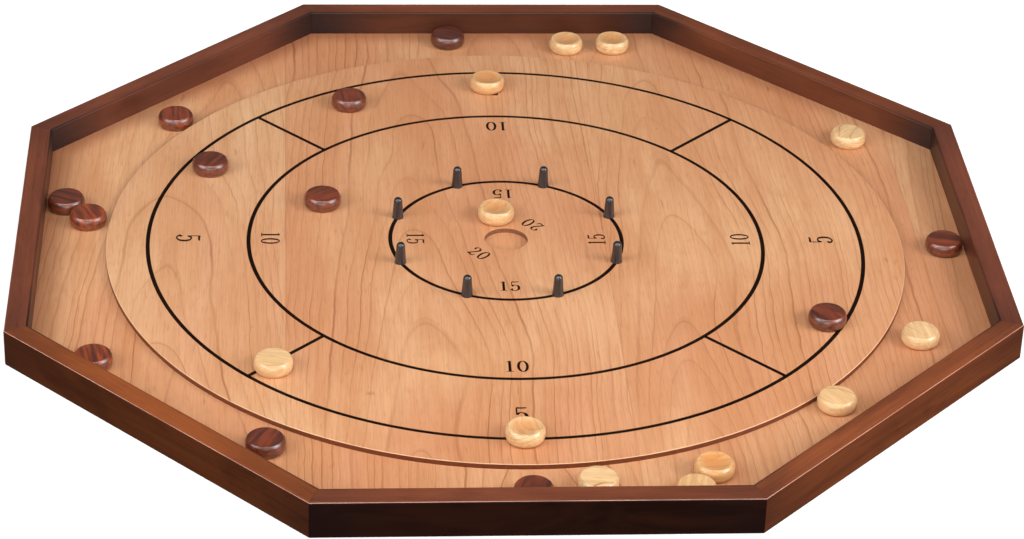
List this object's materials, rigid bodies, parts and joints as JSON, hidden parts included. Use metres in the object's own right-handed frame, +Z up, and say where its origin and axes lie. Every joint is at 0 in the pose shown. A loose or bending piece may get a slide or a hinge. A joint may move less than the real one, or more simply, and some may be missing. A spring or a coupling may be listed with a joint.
{
  "type": "crokinole board",
  "caption": "Eight-sided wooden crokinole board: a round playing surface in a railed ditch, with a ring of pegs, a centre hole and sliding stones.",
  "frame": {"origin": "middle of the underside, on the surface that the board stands on", "axes": "+Z up out of the playing surface, the flat side nearest a player faces -Y, +X to that player's right"},
  "size_m": [0.827, 0.827, 0.0339],
  "materials": {
    "panel_veneer": "satin lacquered cherry veneer",
    "playing_veneer": "polished cherry veneer",
    "rail_stain": "dark mahogany stain, satin lacquer",
    "spline_ply": "raw birch plywood",
    "peg_sleeve": "smooth black rubber",
    "peg_stud": "plain steel",
    "dark_stone": "polished rosewood, glossy",
    "light_stone": "polished pale hardwood, glossy"
  },
  "bodies": {
    "board": {"base_panel": "panel_veneer", "playing_surface": "playing_veneer", "rail_right": "rail_stain", "rail_back_right": "rail_stain", "rail_back": "rail_stain", "rail_back_left": "rail_stain", "rail_left": "rail_stain", "rail_front_left": "rail_stain", "rail_front": "rail_stain", "rail_front_right": "rail_stain", "corner_spline_1": "spline_ply", "corner_spline_2": "spline_ply", "corner_spline_3": "spline_ply", "corner_spline_4": "spline_ply", "corner_spline_5": "spline_ply", "corner_spline_6": "spline_ply", "corner_spline_7": "spline_ply", "corner_spline_8": "spline_ply", "peg_sleeve_1": "peg_sleeve", "peg_sleeve_2": "peg_sleeve", "peg_sleeve_3": "peg_sleeve", "peg_sleeve_4": "peg_sleeve", "peg_sleeve_5": "peg_sleeve", "peg_sleeve_6": "peg_sleeve", "peg_sleeve_7": "peg_sleeve", "peg_sleeve_8": "peg_sleeve", "peg_stud_1": "peg_stud", "peg_stud_2": "peg_stud", "peg_stud_3": "peg_stud", "peg_stud_4": "peg_stud", "peg_stud_5": "peg_stud", "peg_stud_6": "peg_stud", "peg_stud_7": "peg_stud", "peg_stud_8": "peg_stud"},
    "dark_stone_1": {"dark_stone_1": "dark_stone"},
    "dark_stone_2": {"dark_stone_2": "dark_stone"},
    "dark_stone_3": {"dark_stone_3": "dark_stone"},
    "dark_stone_4": {"dark_stone_4": "dark_stone"},
    "dark_stone_5": {"dark_stone_5": "dark_stone"},
    "dark_stone_6": {"dark_stone_6": "dark_stone"},
    "dark_stone_7": {"dark_stone_7": "dark_stone"},
    "dark_stone_8": {"dark_stone_8": "dark_stone"},
    "dark_stone_9": {"dark_stone_9": "dark_stone"},
    "dark_stone_10": {"dark_stone_10": "dark_stone"},
    "dark_stone_11": {"dark_stone_11": "dark_stone"},
    "dark_stone_12": {"dark_stone_12": "dark_stone"},
    "light_stone_1": {"light_stone_1": "light_stone"},
    "light_stone_2": {"light_stone_2": "light_stone"},
    "light_stone_3": {"light_stone_3": "light_stone"},
    "light_stone_4": {"light_stone_4": "light_stone"},
    "light_stone_5": {"light_stone_5": "light_stone"},
    "light_stone_6": {"light_stone_6": "light_stone"},
    "light_stone_7": {"light_stone_7": "light_stone"},
    "light_stone_8": {"light_stone_8": "light_stone"},
    "light_stone_9": {"light_stone_9": "light_stone"},
    "light_stone_10": {"light_stone_10": "light_stone"},
    "light_stone_11": {"light_stone_11": "light_stone"},
    "light_stone_12": {"light_stone_12": "light_stone"}
  },
  "joints": [
    {"name": "dark_stone_1_slide", "type": "slide", "parent": "board", "child": "dark_stone_1", "axis": [1, 0, 0], "range_m": [-0.08, 0.15]},
    {"name": "dark_stone_2_slide", "type": "slide", "parent": "board", "child": "dark_stone_2", "axis": [1, 0, 0], "range_m": [-0.04, 0.15]},
    {"name": "dark_stone_3_slide", "type": "slide", "parent": "board", "child": "dark_stone_3", "axis": [1, 0, 0], "range_m": [-0.15, 0.055]},
    {"name": "dark_stone_4_slide", "type": "slide", "parent": "board", "child": "dark_stone_4", "axis": [1, 0, 0], "range_m": [-0.15, 0.03]},
    {"name": "dark_stone_5_slide", "type": "slide", "parent": "board", "child": "dark_stone_5", "axis": [1, 0, 0], "range_m": [-0.125, 0.065]},
    {"name": "dark_stone_6_slide", "type": "slide", "parent": "board", "child": "dark_stone_6", "axis": [0.6428, 0.766, 0], "range_m": [-0.14, 0.15]},
    {"name": "dark_stone_7_slide", "type": "slide", "parent": "board", "child": "dark_stone_7", "axis": [0.9063, 0.4226, 0], "range_m": [0, 0.03]},
    {"name": "dark_stone_8_slide", "type": "slide", "parent": "board", "child": "dark_stone_8", "axis": [0.6428, 0.766, 0], "range_m": [-0.03, 0]},
    {"name": "dark_stone_9_slide", "type": "slide", "parent": "board", "child": "dark_stone_9", "axis": [0, 1, 0], "range_m": [-0.075, 0.15]},
    {"name": "dark_stone_10_slide", "type": "slide", "parent": "board", "child": "dark_stone_10", "axis": [-0.6428, 0.766, 0], "range_m": [-0.035, 0.055]},
    {"name": "dark_stone_11_slide", "type": "slide", "parent": "board", "child": "dark_stone_11", "axis": [-0.5, 0.866, 0], "range_m": [-0.055, 0.035]},
    {"name": "dark_stone_12_slide", "type": "slide", "parent": "board", "child": "dark_stone_12", "axis": [1, 0, 0], "range_m": [-0.15, 0]},
    {"name": "light_stone_1_slide", "type": "slide", "parent": "board", "child": "light_stone_1", "axis": [1, 0, 0], "range_m": [-0.15, 0.15]},
    {"name": "light_stone_2_slide", "type": "slide", "parent": "board", "child": "light_stone_2", "axis": [0.9848, 0.1736, 0], "range_m": [-0.07, 0.08]},
    {"name": "light_stone_3_slide", "type": "slide", "parent": "board", "child": "light_stone_3", "axis": [1, 0, 0], "range_m": [-0.1, 0.105]},
    {"name": "light_stone_4_slide", "type": "slide", "parent": "board", "child": "light_stone_4", "axis": [1, 0, 0], "range_m": [-0.05, 0.15]},
    {"name": "light_stone_5_slide", "type": "slide", "parent": "board", "child": "light_stone_5", "axis": [-0.6428, 0.766, 0], "range_m": [-0.02, 0.02]},
    {"name": "light_stone_6_slide", "type": "slide", "parent": "board", "child": "light_stone_6", "axis": [-0.6428, 0.766, 0], "range_m": [-0.055, 0.02]},
    {"name": "light_stone_7_slide", "type": "slide", "parent": "board", "child": "light_stone_7", "axis": [-0.1736, 0.9848, 0], "range_m": [-0.035, 0.045]},
    {"name": "light_stone_8_slide", "type": "slide", "parent": "board", "child": "light_stone_8", "axis": [0.766, 0.6428, 0], "range_m": [-0.03, 0.06]},
    {"name": "light_stone_9_slide", "type": "slide", "parent": "board", "child": "light_stone_9", "axis": [0.7071, 0.7071, 0], "range_m": [-0.095, 0.065]},
    {"name": "light_stone_10_slide", "type": "slide", "parent": "board", "child": "light_stone_10", "axis": [0.8192, 0.5736, 0], "range_m": [-0.02, 0.03]},
    {"name": "light_stone_11_slide", "type": "slide", "parent": "board", "child": "light_stone_11", "axis": [-0.9659, 0.2588, 0], "range_m": [-0.035, 0.03]},
    {"name": "light_stone_12_slide", "type": "slide", "parent": "board", "child": "light_stone_12", "axis": [1, 0, 0], "range_m": [-0.03, 0]}
  ]
}
